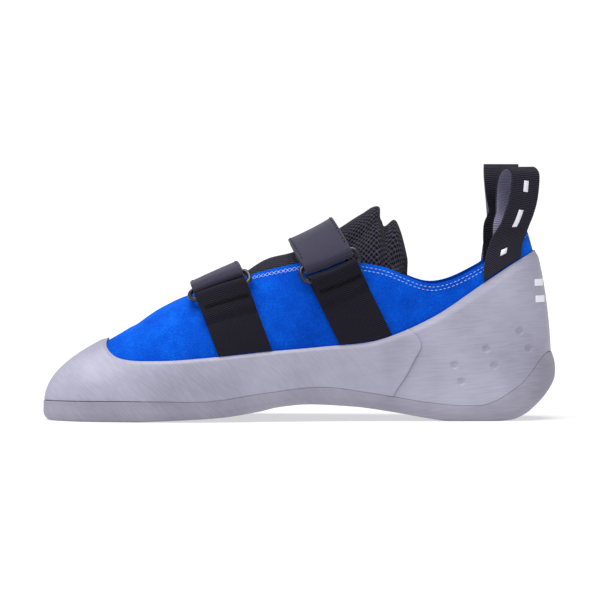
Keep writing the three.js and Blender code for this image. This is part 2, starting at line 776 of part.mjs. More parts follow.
function pullLoop(path, side) {
  const places = acrossPlaces(webWidth);
  const middle = acrossSteps / 2;
  const lean = path[0].back * webWidth;
  const onSkin = (across, share, heightOf, lift) => {
    const x = loopFoot + across - lean * share;
    let z = instepHeight;
    let station = stationAt(x, z, side);
    for (let step = 0; step < settleSteps; step += 1) {
      z = heightOf(station);
      station = stationAt(x, z, side);
    }
    const angle = angleAt(section(station), z);
    return lastPoint(station, angle).addScaledVector(lastNormal(station, angle), lift);
  };
  const forwardAt = (degrees, along) => {
    const yaw = THREE.MathUtils.degToRad(degrees);
    const forward = new THREE.Vector3(Math.cos(yaw), side * Math.sin(yaw), 0);
    return forward.addScaledVector(along, -along.dot(forward)).normalize();
  };
  const outside = upperWall + bandGap + webThickness / 2;
  const inside = -bandGap - webThickness / 2;
  const footHeight = (station) => lastPoint(station, overRandAngle(station)).z + bandGap;
  const collarHeight = (station) => lastValue("collar", station) * instepHeight;
  const legTop = collarHeight(0) + 2 * bandGap;
  const feet = loopFeet.map((share) =>
    places.map((across) =>
      onSkin(
        across,
        share ** 2 * loopLean,
        (station) => THREE.MathUtils.lerp(footHeight(station), legTop, share),
        outside,
      ),
    ),
  );
  const ends = loopEnds.map((share) =>
    places.map((across) =>
      onSkin(
        across,
        endLean,
        (station) => THREE.MathUtils.lerp(legTop, collarHeight(station) - loopInside, share),
        inside,
      ),
    ),
  );
  const base = feet[feet.length - 1][middle].clone();
  const free = path.map(
    ({ up, back, inward }) =>
      new THREE.Vector3(
        loopFoot - back * webWidth,
        base.y - side * inward * webWidth,
        legTop + up * (loopHeight - legTop),
      ),
  );
  // Towards its free part the foot straightens across.
  feet.slice(1).forEach((row, i) => {
    const centre = row[middle].clone();
    const forward = row[middle + 1].clone().sub(row[middle - 1]).normalize();
    const share = ((i + 1) / (feet.length - 1)) ** 2;
    row.forEach((p, j) => p.lerp(centre.clone().addScaledVector(forward, places[j]), share));
  });
  const rows = free.map((p, i) => {
    const along = (free[i + 1] ?? ends[0][middle]).clone().sub(free[i - 1] ?? base).normalize();
    const forward = forwardAt(path[i].yaw, along);
    return places.map((across) => p.clone().addScaledVector(forward, across));
  });
  return ribbon([...feet, ...rows, ...ends], webThickness);
}

const parts = new THREE.Group();

function addPiece(name, geometry, color, roughness) {
  const material = new THREE.MeshStandardMaterial({ color, roughness, metalness: 0 });
  const mesh = new THREE.Mesh(geometry, material);
  mesh.name = name;
  parts.add(mesh);
}

const suede = "#0f62dc";
const rubber = "#a5a3b4";
const black = "#17151d";
const upperGrids = [layer("margin", "collar", upperWall), layer("margin", "collar", 0)];
const insoleGrids = [layer("middle", "flat", -gap), layer("middle", "flat", -gap - insoleThickness)];
const rands = rand();

addPiece("outsole", outsole(), rubber, 0.6);
addPiece("insole", between(...insoleGrids, true), "#3c3a44", 0.9);
addPiece("upper", between(...upperGrids, true), suede, 0.95);
addPiece("rand_front", rands.front, rubber, 0.6);
addPiece("rand_heel", rands.back, rubber, 0.6);
addPiece("tongue", tongue(), black, 0.95);
for (const [name, band] of Object.entries(bands)) {
  addPiece(`gore_${name}`, gore(band), black, 0.9);
  addPiece(`ring_${name}`, ring(band), black, 0.35);
  addPiece(`strap_${name}`, strap(band), "#33303c", 0.85);
}
addPiece("pull_loop_medial", pullLoop(loopPaths.medial, 1), black, 0.85);
addPiece("pull_loop_lateral", pullLoop(loopPaths.lateral, -1), black, 0.85);

export default parts;
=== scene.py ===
import math
import bpy
import bmesh
from mathutils import Matrix, Vector


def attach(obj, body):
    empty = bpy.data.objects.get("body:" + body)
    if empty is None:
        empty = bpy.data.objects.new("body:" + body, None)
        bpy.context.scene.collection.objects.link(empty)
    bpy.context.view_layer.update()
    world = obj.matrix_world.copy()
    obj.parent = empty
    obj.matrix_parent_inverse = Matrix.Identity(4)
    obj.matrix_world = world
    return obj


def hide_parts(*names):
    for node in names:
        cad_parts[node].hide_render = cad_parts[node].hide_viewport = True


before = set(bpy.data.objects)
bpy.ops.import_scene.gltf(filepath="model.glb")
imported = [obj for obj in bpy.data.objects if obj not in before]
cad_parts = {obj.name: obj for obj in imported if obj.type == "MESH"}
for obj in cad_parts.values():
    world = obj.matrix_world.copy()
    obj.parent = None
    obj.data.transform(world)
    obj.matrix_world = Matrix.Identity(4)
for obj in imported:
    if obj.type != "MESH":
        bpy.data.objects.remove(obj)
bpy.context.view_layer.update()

mm = 0.001

# The shoe's own sizes in millimetres, as in the solids
shoe = {
    "length": 270.0, "heelSetback": 39.7, "ballWidth": 97.0, "instep": 84.0, "ankle": 140.0,
    "arch": 8.9, "tail": 35.8, "upperWall": 1.6, "randWall": 1.8, "rimWall": 2.1,
    "soleThickness": 4.2, "tailBulge": 1.6, "corner": 1.8, "insole": 1.5, "margin": 9.0, "gap": 0.3,
    "bandGap": 0.5, "tongueGap": 1.0, "overlapStep": 0.9, "overlapLength": 28.0,
    "heelCentre": -6.0, "toeCentre": 188.0,
}
skinBuild = shoe["upperWall"] + shoe["gap"] + shoe["randWall"]
underBuild = shoe["upperWall"] + shoe["gap"] + shoe["soleThickness"]
rimReach = shoe["upperWall"] + shoe["gap"] + shoe["rimWall"]
lastBack = rimReach + shoe["tailBulge"] - shoe["heelSetback"]
lastLength = shoe["length"] - rimReach - shoe["tailBulge"] - skinBuild
lastWidth = shoe["ballWidth"] - 2 * skinBuild
toeSide = lastWidth * 0.06  # the toe's middle lies towards the big toe
flatInset = shoe["corner"] * 1.6  # where the sole's flat bottom begins
bandFoot = shoe["upperWall"] + shoe["bandGap"]

# The last, heel to toe: outline, ridge, squareness, and the heights of the edges that run round it
lastColumns = ("along", "medial", "lateral", "ridgeAlong", "ridgeSide", "instep", "ankle", "full", "lean",
               "seam", "rand", "collar")
lastTable = [dict(zip(lastColumns, row)) for row in (
    (0.0, 0.0, 0.0, 0.177, 0.0, 0.0, 1.0, 2.05, 2.05, 0.995, 1.056, 1.203),
    (0.016, 0.16, -0.16, 0.177, 0.0, 0.0, 1.0, 2.05, 2.05, 0.94, 1.03, 1.172),
    (0.06, 0.268, -0.272, 0.177, 0.0, 0.0, 1.0, 1.95, 1.95, 0.52, 0.958, 1.1),
    (0.131, 0.315, -0.33, 0.177, 0.0, 0.0, 1.0, 1.85, 1.85, 0.235, 0.835, 0.96),
    (0.231, 0.313, -0.368, 0.231, 0.01, 0.0, 0.95, 1.9, 1.9, 0.27, 0.643, 0.857),
    (0.338, 0.313, -0.419, 0.338, 0.03, 1.37, 0.0, 2.0, 2.0, 0.39, 0.506, 0.964),
    (0.453, 0.346, -0.463, 0.453, 0.05, 1.148, 0.0, 2.2, 2.2, 0.5, 0.464, 0.99),
    (0.568, 0.413, -0.502, 0.568, 0.065, 0.985, 0.0, 2.3, 2.3, 0.42, 0.433, 0.922),
    (0.676, 0.469, -0.525, 0.676, 0.06, 0.832, 0.0, 2.3, 2.3, 0.305, 0.396, 0.808),
    (0.775, 0.48, -0.508, 0.775, 0.05, 0.683, 0.0, 2.1, 2.1, 0.3, 0.369, 0.7),
    (0.863, 0.447, -0.435, 0.821, 0.045, 0.583, 0.0, 2.0, 1.7, 0.3, 0.375, 0.65),
    (0.945, 0.368, -0.27, 0.821, 0.045, 0.583, 0.0, 2.2, 1.1, 0.295, 0.465, 0.65),
    (1.0, 0.14, 0.14, 0.821, 0.045, 0.583, 0.0, 2.3, 0.8, 0.29, 0.485, 0.65),
)]
# The underside: shares of the last's length, of the arch's rise and of the tail's height
underside = (
    (-0.0215, 0, 0.709), (-0.016, 0, 0.547), (-0.0045, 0, 0.405), (0.019, 0, 0.229),
    (0.0425, 0, 0.098), (0.0705, 0, 0.017), (0.1, 0, 0), (0.198, 0, 0), (0.240, 0.169, 0),
    (0.314, 0.55, 0), (0.390, 0.854, 0), (0.482, 1, 0), (0.539, 0.854, 0), (0.579, 0.596, 0),
    (0.654, 0.258, 0), (0.710, 0.146, 0), (0.777, 0.056, 0), (0.830, 0, 0), (1.000, 0, 0),
)
lastRow = len(lastTable) - 1
turn = 2 * lastRow
sections = {}


def mix(a, b, t):
    return a + (b - a) * t


def clamp(value, low=0.0, high=1.0):
    return max(low, min(high, value))


def ease(value, low, high):
    t = clamp((value - low) / (high - low))
    return t * t * (3 - 2 * t)


def search(low, high, rounds, beyond):  # by halving: the place past which beyond is true
    for _ in range(rounds):
        middle = (low + high) / 2
        if beyond(middle):
            high = middle
        else:
            low = middle
    return middle


def fromLine(point, start, end):  # for a line in the x-z plane: share along it, and distance from it
    run = Vector(end) - Vector(start)
    away = Vector((point.x, point.z)) - Vector(start)
    t = clamp(away.dot(run) / run.length_squared)
    return t, (away - run * t).length


def onSide(station, side):
    return station if side > 0 else turn - station


def spline(a, b, c, d, t):
    return b + 0.5 * t * (c - a + t * (2 * a - 5 * b + 4 * c - d + t * (3 * (b - c) + d - a)))


def follow(rows, column, at):  # a smooth curve through a table's rows, with no overshoot
    i = 0
    while i < len(rows) - 2 and at > rows[i + 1][0]:
        i += 1

    def slope(k):
        if k < 0 or k > len(rows) - 2:
            return 0.0
        return (rows[k + 1][column] - rows[k][column]) / (rows[k + 1][0] - rows[k][0])

    def tangent(k):
        before, after = slope(k - 1), slope(k)
        return 2 * before * after / (before + after) if before * after > 0 else 0.0

    width = rows[i + 1][0] - rows[i][0]
    t = clamp((at - rows[i][0]) / width)
    bend = tangent(i) * t * (1 - t) ** 2 - tangent(i + 1) * t * t * (1 - t)
    return mix(rows[i][column], rows[i + 1][column], t * t * (3 - 2 * t)) + bend * width


def lastValue(column, station):
    k = math.floor(station)

    def read(n):
        at = n % turn
        name = ("medial" if at <= lastRow else "lateral") if column == "side" else column
        return lastTable[min(at, turn - at)][name]

    return spline(read(k - 1), read(k), read(k + 1), read(k + 2), station - k)


def groundAt(x):
    share = (x - lastBack) / lastLength
    return follow(underside, 1, share) * shoe["arch"] + follow(underside, 2, share) * shoe["tail"]


def section(station):  # one section of the last, kept because neighbours ask for it again
    key = round(station % turn, 5)
    if key not in sections:
        value = {name: lastValue(name, key) for name in lastColumns[3:] + ("along", "side")}
        x = lastBack + value["along"] * lastLength
        z = groundAt(x) + underBuild + shoe["corner"]
        value["foot"] = Vector((x, value["side"] * lastWidth, z))
        value["ridge"] = Vector((lastBack + value["ridgeAlong"] * lastLength,
                                 value["ridgeSide"] * lastWidth,
                                 value["instep"] * shoe["instep"] + value["ankle"] * shoe["ankle"]))
        sections[key] = value
    return sections[key]


def lastPoint(station, angle):
    value = section(station)
    foot, ridge = value["foot"], value["ridge"]
    inward = 1 - max(0.0, math.cos(angle)) ** (2 / value["lean"])
    upward = math.sin(angle) ** (2 / value["full"])
    return Vector((mix(foot.x, ridge.x, inward), mix(foot.y, ridge.y, inward), mix(foot.z, ridge.z, upward)))


def lastNormal(station, angle):
    small = 0.02
    angle = clamp(angle, small, math.pi / 2 - small)
    across = lastPoint(station + small, angle) - lastPoint(station - small, angle)
    upward = lastPoint(station, angle + small) - lastPoint(station, angle - small)
    return upward.cross(across).normalized()


def skin(station, angle, lift):
    return lastPoint(station, angle) + lastNormal(station, angle) * lift


def angleAt(station, z):
    value = section(station)
    share = clamp((z - value["foot"].z) / (value["ridge"].z - value["foot"].z))
    return math.asin(share ** (value["full"] / 2))


def seamHeight(station):
    value = section(station)
    return max(value["seam"] * shoe["tail"], value["foot"].z + shoe["gap"])


def edgeHeight(station, edge):  # of the rand's or the collar's edge
    return section(station)[edge] * shoe["instep"]


def edgeAngle(station, edge):
    return angleAt(station, edgeHeight(station, edge))


def overRand(station):
    value = section(station)
    return edgeAngle(station, "rand") + 2 * shoe["gap"] / (value["ridge"] - value["foot"]).length


def underPoint(station, distance, rise, lift=0.0):  # under the foot, a distance in from its outline
    foot, mirrored = section(station)["foot"], section(turn - station)["foot"]
    x = clamp(foot.x, shoe["heelCentre"], shoe["toeCentre"])
    y = (foot.y + mirrored.y) / 2
    if foot.x > shoe["toeCentre"]:
        y = toeSide
    if foot.x < shoe["heelCentre"]:
        y = 0.0
    width = math.hypot(x - foot.x, y - foot.y)
    share = 1.0 if distance is None else min(1.0, distance / width)
    point = Vector((mix(foot.x, x, share), mix(foot.y, y, share), 0))
    point.z = groundAt(point.x) + underBuild + rise - lift
    return point


def underWidth(station):  # from the foot's outline in to its middle line
    return (underPoint(station, None, 0) - underPoint(station, 0.0, 0)).length


# Materials
def srgb(code):
    channels = [int(code[i:i + 2], 16) / 255 for i in (1, 3, 5)]
    return tuple(c / 12.92 if c <= 0.04045 else ((c + 0.055) / 1.055) ** 2.4 for c in channels) + (1.0,)


def addNode(tree, kind, links=None, **settings):  # settings: the node's own, or the values of its sockets
    node = tree.nodes.new(kind)
    for key, value in settings.items():
        if hasattr(node, key) and key not in node.inputs:
            setattr(node, key, value)
        else:
            node.inputs[key.replace("_", " ")].default_value = value
    for socket, source in (links or {}).items():
        tree.links.new(source, node.inputs[socket])
    return node


def newMaterial(name, **settings):
    material = bpy.data.materials.new(name)
    material.use_nodes = True
    tree = material.node_tree
    shader = tree.nodes["Principled BSDF"]
    for key, value in settings.items():
        shader.inputs[key].default_value = value
    return material, tree, shader


def noise(tree, place, **settings):
    return addNode(tree, "ShaderNodeTexNoise", {"Vector": place}, **settings).outputs["Fac"]


def remap(tree, source, **settings):
    return addNode(tree, "ShaderNodeMapRange", {"Value": source}, **settings).outputs["Result"]


def axis(tree, place, name):
    return addNode(tree, "ShaderNodeSeparateXYZ", {"Vector": place}).outputs[name]


def mapped(tree, place, **settings):
    return addNode(tree, "ShaderNodeMapping", {"Vector": place}, **settings).outputs["Vector"]


def blend(tree, a, b, share):
    return addNode(tree, "ShaderNodeMix", {"A": a, "B": b}, Factor=share).outputs["Result"]


def calculate(tree, a, b, operation):
    return addNode(tree, "ShaderNodeMath", {0: a, 1: b}, operation=operation).outputs["Value"]


def objectPlace(tree):
    return addNode(tree, "ShaderNodeTexCoord").outputs["Object"]


def clothPlace(tree):
    return addNode(tree, "ShaderNodeUVMap", uv_map="cloth").outputs["UV"]


def colourFrom(tree, shader, source, stops):  # a ramp with hex colours at its stops
    node = addNode(tree, "ShaderNodeValToRGB", {"Fac": source})
    elements = node.color_ramp.elements
    while len(elements) < len(stops):
        elements.new(0.5)
    for element, (place, code) in zip(elements, stops):
        element.position = place
        element.color = srgb(code)
    tree.links.new(node.outputs["Color"], shader.inputs["Base Color"])


def bumpFrom(tree, shader, height, depth, strength=1.0):
    node = addNode(tree, "ShaderNodeBump", {"Height": height}, Strength=strength, Distance=depth * mm)
    tree.links.new(node.outputs["Normal"], shader.inputs["Normal"])


def suedeMaterial():
    # Split leather with a short brushed nap: no gloss, a soft bloom at the edges and clouds where it lies
    # over.
    # Painted light: the colour is painted paler on top and towards the toe, as a painted highlight where the
    # lamp falls
    material, tree, shader = newMaterial("brushedSuede", **{
        "Roughness": 0.92, "Sheen Weight": 0.08, "Sheen Roughness": 0.45, "Specular IOR Level": 0.06,
        "Sheen Tint": srgb("#6fb0ff")})
    place = objectPlace(tree)
    clouds = noise(tree, place, Scale=75.0, Detail=4.0, Roughness=0.6)
    nap = noise(tree, place, Scale=1400.0, Detail=2.0)  # 0.7 mm tufts
    # Painted light: the suede is painted paler towards the toe and towards the top
    front = remap(tree, axis(tree, place, "X"), From_Min=0.11, From_Max=0.18, To_Min=-0.06, To_Max=0.08)
    top = remap(tree, axis(tree, place, "Z"), From_Min=0.035, From_Max=0.09, To_Min=-0.05, To_Max=0.1)
    napCloudsAndPaintedLight = calculate(tree, blend(tree, clouds, nap, 0.5), calculate(tree, front, top, "ADD"), "ADD")
    colourFrom(tree, shader, napCloudsAndPaintedLight, ((0.3, "#0138a0"), (0.5, "#024abf"), (0.72, "#0968e0")))
    bumpFrom(tree, shader, nap, 0.16, 0.7)
    return material


def scratches(tree, place, turned, length, width):
    # Noise drawn out along one line in the x-z plane; length and width of a mark in millimetres
    stretched = mapped(tree, place, vector_type="TEXTURE", Rotation=(0.0, turned, 0.0),
                       Scale=(length * mm, length * mm, width * mm))
    return noise(tree, stretched, Scale=1.0, Detail=3.0)


def rubberMaterial(name, dark, mid, light, roughness=0.5):
    # Moulded rubber, buffed by hand: even colour, slanting rub marks towards the toe and level ones at the
    # heel, and a low broad shine
    material, tree, shader = newMaterial(name, **{"Roughness": roughness, "Specular IOR Level": 0.35})
    place = objectPlace(tree)
    broad = noise(tree, place, Scale=30.0, Detail=3.0, Roughness=0.5)
    slanting = scratches(tree, place, -0.75, 7.0, 0.55)
    level = scratches(tree, place, 0.1, 9.0, 0.5)
    front = remap(tree, axis(tree, place, "X"), From_Min=0.03, From_Max=0.09)
    rubbed = addNode(tree, "ShaderNodeMix", {"Factor": front, "A": level, "B": slanting}).outputs["Result"]
    colourFrom(tree, shader, blend(tree, broad, rubbed, 0.35), ((0.3, dark), (0.5, mid), (0.7, light)))
    bumpFrom(tree, shader, rubbed, 0.06, 0.6)
    return material


def wovenMaterial(name, dark, light, pitch, slant, depth, sheen=0.05):
    # Woven tape: threads of the given pitch in mm, read from the piece's own map in metres
    material, tree, shader = newMaterial(name, **{
        "Roughness": 0.85, "Sheen Weight": sheen, "Sheen Roughness": 0.4, "Specular IOR Level": 0.12})
    place = clothPlace(tree)
    turned = mapped(tree, place, Rotation=(0.0, 0.0, slant))
    rib = addNode(tree, "ShaderNodeTexWave", {"Vector": turned}, Scale=0.314 / (pitch * mm), Distortion=0.0,
                  wave_type="BANDS", bands_direction="X")
    yarn = noise(tree, place, Scale=2.0 / (pitch * mm), Detail=2.0)
    both = blend(tree, rib.outputs["Fac"], yarn, 0.35)
    colourFrom(tree, shader, both, ((0.25, dark), (0.75, light)))
    bumpFrom(tree, shader, both, depth)
    return material


def meshMaterial():
    # Spacer mesh: a knitted face of open cells, about 2 mm from cell to cell, dark in its own colour.
    # The cells' middles are painted near black as painted shade in the openings, and the walls between them
    # painted lighter as a painted highlight on the ridges
    material, tree, shader = newMaterial("spacerMesh", **{
        "Roughness": 0.9, "Sheen Weight": 0.06, "Sheen Roughness": 0.5, "Specular IOR Level": 0.12})
    place = clothPlace(tree)
    turned = mapped(tree, place, Rotation=(0.0, 0.0, math.pi / 4),
                    Scale=(1 / (2.15 * mm), 1 / (1.8 * mm), 1.0))
    cells = addNode(tree, "ShaderNodeTexVoronoi", {"Vector": turned}, Randomness=0.12, Scale=1.0,
                    voronoi_dimensions="2D")
    yarn = noise(tree, place, Scale=2600.0, Detail=2.0)
    # Painted shade in the open cells and a painted highlight on the cell walls, over the mesh's own dark
    # colour
    wall = remap(tree, cells.outputs["Distance"], From_Min=0.24, From_Max=0.48)
    cellsYarnAndPaintedShade = calculate(tree, wall, yarn, "MULTIPLY")
    colourFrom(tree, shader, cellsYarnAndPaintedShade, ((0.05, "#08070c"), (0.4, "#2b2936"), (0.7, "#565363")))
    bumpFrom(tree, shader, cellsYarnAndPaintedShade, 0.55)
    return material


def mouldedMaterial(name, colour, roughness=0.3):
    # Injection-moulded nylon: smooth, with a slight unevenness in its shine
    material, tree, shader = newMaterial(name, **{"Base Color": srgb(colour), "Specular IOR Level": 0.5})
    cloud = noise(tree, objectPlace(tree), Scale=600.0)
    gloss = remap(tree, cloud, To_Min=roughness - 0.08, To_Max=roughness + 0.12)
    tree.links.new(gloss, shader.inputs["Roughness"])
    bumpFrom(tree, shader, cloud, 0.03, 0.3)
    return material


finish = {
    "suede": suedeMaterial(),
    "rand": rubberMaterial("buffedRubber", "#8e8c9e", "#9f9db0", "#adabbd"),
    "sole": rubberMaterial("soleRubber", "#827f90", "#92909f", "#a09dac", 0.56),
    "webbing": wovenMaterial("ribbedWebbing", "#0f0d14", "#34313e", 0.95, 0.0, 0.22),
    "webbingInside": wovenMaterial("webbingInside", "#5f5c74", "#8d8aa3", 0.95, 0.0, 0.18),
    "elastic": wovenMaterial("twillElastic", "#08070c", "#22202c", 1.0, 0.7, 0.14),
    "strap": wovenMaterial("brushedLoopTape", "#2a2837", "#464456", 0.6, 0.5, 0.1, 0.3),
    "mesh": meshMaterial(),
    "ring": mouldedMaterial("mouldedNylon", "#24232b", 0.22),
    "thread": wovenMaterial("paleThread", "#a9bcdc", "#dde3ee", 0.3, 0.5, 0.05),
    "lattice": wovenMaterial("latticeThread", "#9db6dc", "#cfdcf0", 0.3, 0.5, 0.05),
    "darkThread": wovenMaterial("darkThread", "#08070b", "#1a1822", 0.3, 0.5, 0.05),
    "board": wovenMaterial("insoleBoard", "#3a3842", "#5a5862", 0.9, 0.3, 0.1),
    "mark": mouldedMaterial("whiteInk", "#e9e8f2", 0.5),
}
print("materials made")


# Making pieces
weld = 0.004  # corners nearer than this, in mm, become one


def sheetMesh(counts, place, size, closed=False, thickAt=None):
    # A grid whose corners are 0..1 each way, laid where place says, with a map in metres
    wide, high = counts
    bm = bmesh.new()
    bmesh.ops.create_grid(bm, x_segments=wide, y_segments=high, size=0.5)
    cloth = bm.loops.layers.uv.new("cloth")
    for face in bm.faces:
        for corner in face.loops:
            u, v = corner.vert.co.x + 0.5, corner.vert.co.y + 0.5
            far = size(u, v) if callable(size) else (u * size[0], v * size[1])
            corner[cloth].uv = (far[0] * mm, far[1] * mm)
    if thickAt:
        weights = bm.verts.layers.deform.verify()
        for vert in bm.verts:
            vert[weights][0] = thickAt(vert.co.y + 0.5)
    for vert in bm.verts:
        vert.co = place(vert.co.x + 0.5, vert.co.y + 0.5) * mm
    bmesh.ops.remove_doubles(bm, verts=bm.verts, dist=weld * mm)
    if closed:
        bmesh.ops.recalc_face_normals(bm, faces=bm.faces)
    return bm


def meshFrom(bm, name):
    mesh = bpy.data.meshes.new(name)
    bm.to_mesh(mesh)
    bm.free()
    return mesh


def addObject(name, data):
    thing = bpy.data.objects.new(name, data)
    bpy.context.scene.collection.objects.link(thing)
    return thing


def finishPiece(bm, name, node, materials, flip=False):
    if flip:
        bmesh.ops.reverse_faces(bm, faces=bm.faces)
    for face in bm.faces:
        face.smooth = True
    mesh = meshFrom(bm, name)
    piece = addObject(name, mesh)
    for key in materials:
        mesh.materials.append(finish[key])
    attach(piece, "root")
    if node:
        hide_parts(node)
    return piece


def addWall(piece, thickness, offset, inside=0):
    wall = piece.modifiers.new("wall", "SOLIDIFY")
    wall.thickness = thickness * mm
    wall.offset = offset
    wall.use_even_offset = False
    wall.material_offset = inside
    return wall


def addBevel(piece, width, segments=2, angle=50.0):
    bevel = piece.modifiers.new("edges", "BEVEL")
    bevel.width = width * mm
    bevel.segments = segments
    bevel.limit_method = "ANGLE"
    bevel.angle_limit = math.radians(angle)


# Upper: one suede wall, turned in under the foot
upper = {"grid": (264, 44), "map": (640, 95), "marginShare": 0.12, "edge": 0.5,
         "creaseFrom": (34, 42), "creaseTo": (0.88, 1.0), "creaseEnd": 0.25}
# Soft troughs (below 0) and ridges in the suede: side, where from and where to in x and z, width, depth
creases = (
    (1, (118, 44), (92, 74), 9.0, -0.9),
    (1, (104, 40), (86, 58), 5.0, 0.5),
    (1, (160, 38), (146, 56), 7.0, -0.6),
    (1, (172, 40), (166, 54), 5.0, 0.4),
    (1, (44, 52), (30, 66), 6.0, -0.6),
    (1, (12, 70), (34, 70), 4.0, -0.35),
    (1, (150, 42), (128, 40), 6.0, 0.4),
    (-1, (120, 44), (90, 70), 9.0, -0.9),
    (-1, (150, 42), (134, 60), 6.0, -0.6),
    (-1, (60, 50), (36, 62), 7.0, -0.6),
    (0, (176, 50), (160, 58), 6.0, -0.5),
)


def creaseLift(point):
    lift = 0.0
    for side, start, end, width, depth in creases:
        if side * point.y < 0:
            continue
        t, distance = fromLine(point, start, end)
        middle = ease(t, 0.0, 0.25) * (1 - ease(t, 0.75, 1.0))
        lift += depth * mix(upper["creaseEnd"], 1.0, middle) * math.exp(-(distance / width) ** 2)
    return lift


def upperPlace(u, v):
    station = u * turn
    share = upper["marginShare"]
    if v < share:
        distance = mix(shoe["margin"], 0.0, v / share)
        radius = shoe["corner"]
        rise = 0.0
        if distance < radius:
            rise = radius - math.sqrt(radius ** 2 - (radius - distance) ** 2)
        return underPoint(station, distance, rise)
    angle = edgeAngle(station, "collar") * (v - share) / (1 - share)
    point = lastPoint(station, angle)
    soft = ease(point.z, *upper["creaseFrom"]) * (1 - ease(v, *upper["creaseTo"]))
    return point + lastNormal(station, angle) * creaseLift(point) * soft


def makeUpper():
    bm = sheetMesh(upper["grid"], upperPlace, upper["map"])
    piece = finishPiece(bm, "suedeUpper", "upper", ("suede",), True)
    addWall(piece, shoe["upperWall"], 1.0)
    addBevel(piece, upper["edge"], 3)


# Rands: the front one's ends stand over the heel one along a slanting line, height and place in shares, and
# the top edges are pared thinner over the last tenth of their height
randCut = ((0.0, 0.19), (0.167, 0.171), (0.281, 0.148), (0.389, 0.13), (0.47, 0.118), (0.52, 0.124),
           (0.6, 0.15))
rand = {"front": (300, 36), "heel": (330, 110), "map": (500, 40), "edge": 0.3, "seamGap": 0.12,
        "parting": 0.13, "pared": 0.55, "paredFrom": 0.9}
cuts = {}


def cutAt(z):
    return follow(randCut, 1, z / shoe["instep"]) * shoe["length"]


def randAngle(station, v):
    low = angleAt(station, seamHeight(station) + rand["seamGap"])
    return mix(low, edgeAngle(station, "rand"), v)


def cutStation(v, side):
    def beyond(middle):
        station = onSide(middle, side)
        point = lastPoint(station, randAngle(station, v))
        return point.x > cutAt(point.z)

    return search(2.0, 7.0, 23, beyond)


def randThickness(v):
    return 1 - ease(v, rand["paredFrom"], 1.0)


def randStation(u, v, front):
    key = round(v, 5)
    if key not in cuts:
        cuts[key] = (cutStation(v, 1), cutStation(v, -1))
    medial, lateral = cuts[key]
    if front:
        return mix(medial, turn - lateral, u)
    return mix(turn - lateral, turn + medial, u)


def randPlace(front):
    def place(u, v):
        station = randStation(u, v, front)
        angle = randAngle(station, v)
        lift = skinBuild - rand["pared"] * shoe["randWall"] * (1 - randThickness(v))
        point = lastPoint(station, angle)
        if front:
            parting = rand["parting"] * shoe["length"]
            lift += shoe["overlapStep"] * (1 - ease(point.x, parting, parting + shoe["overlapLength"]))
        else:
            lift -= dimpleDepth(point)
        return point + lastNormal(station, angle) * lift
    return place


# Dimples in the heel rand, a pair to each of three slanting rows: x and z, and their size
dimples = {
    "places": ((-18.4, 46.9), (-22.8, 37.8), (-1.8, 37.8), (-5.8, 29.0), (14.4, 29.4), (10.7, 20.9)),
    "radius": 2.1, "flat": 0.7, "depth": 0.75,
}


def dimpleDepth(point):
    radius = dimples["radius"]
    for x, z in dimples["places"]:
        distance = math.hypot(point.x - x, point.z - z)
        if distance < radius:
            return dimples["depth"] * (1 - ease(distance, radius * dimples["flat"], radius))
    return 0.0


def makeRands():
    for front, name in ((True, "Front"), (False, "Heel")):
        key = name.lower()
        bm = sheetMesh(rand[key], randPlace(front), rand["map"], False, randThickness)
        piece = finishPiece(bm, "rand" + name, "rand_" + key, ("rand",), True)
        piece.vertex_groups.new(name="thick")
        wall = addWall(piece, shoe["randWall"], -1.0)
        wall.vertex_group = "thick"
        wall.thickness_vertex_group = 1 - rand["pared"]
        addBevel(piece, rand["edge"], 3)


# Outsole: a tray with a cupped rim, its profile listed from the middle of the bottom round to the inside
outsole = {"columns": 288, "bottom": 8, "round": 8, "side": 8, "wall": 5, "map": (640, 120), "edge": 0.35,
           "flatOut": 1.3, "flare": 0.6, "sideOut": 1.9, "sideRise": 1.1, "belly": 0.8}


def soleProfile(station):
    inner = shoe["upperWall"] + shoe["gap"]
    width = underWidth(station)
    way = lastNormal(station, 0.0)
    way.z = 0
    way.normalize()
    heelward = ease(-section(station)["foot"].x, -shoe["heelCentre"], -lastBack)
    points = []
    for k in range(outsole["bottom"]):
        t = k / outsole["bottom"]
        point = underPoint(station, mix(width, flatInset, t), 0)
        point += way * outsole["flatOut"] * shoe["rimWall"] * ease(t, outsole["flare"], 1.0)
        point.z = groundAt(point.x)
        points.append(point)
    for k in range(outsole["round"] + 1):
        turned = math.pi / 2 * k / outsole["round"]
        out = mix(outsole["flatOut"], outsole["sideOut"], math.sin(turned)) * shoe["rimWall"]
        point = underPoint(station, flatInset * (1 - math.sin(turned)), 0) + way * out
        point.z = groundAt(point.x) + outsole["sideRise"] * shoe["soleThickness"] * (1 - math.cos(turned))
        points.append(point + way * shoe["tailBulge"] * heelward * math.sin(turned) ** 2)
    low = points[-1].copy()
    seam = angleAt(station, seamHeight(station))
    top = lastPoint(station, seam) + way * rimReach
    for k in range(1, outsole["side"] + 1):
        t = k / outsole["side"]
        points.append(low.lerp(top, t) + way * outsole["belly"] * heelward * math.sin(math.pi * t))
    for k in range(outsole["wall"] + 1):
        angle = seam * (1 - k / outsole["wall"])
        points.append(skin(station, angle, inner))
    for k in range(outsole["bottom"] + 1):
        inset = mix(flatInset, width, k / outsole["bottom"])
        points.append(underPoint(station, inset, 0, inner))
    return points


def makeOutsole():
    profiles = {}
    rows = len(soleProfile(0.0)) - 1

    def place(u, v):
        key = round(u, 5)
        if key not in profiles:
            profiles[key] = soleProfile(u * turn)
        return profiles[key][round(v * rows)]

    bm = sheetMesh((outsole["columns"], rows), place, outsole["map"], True)
    piece = finishPiece(bm, "cuppedOutsole", "outsole", ("sole",))
    addBevel(piece, outsole["edge"], 2, 55)


insole = {"grid": (160, 12), "map": (640, 45)}


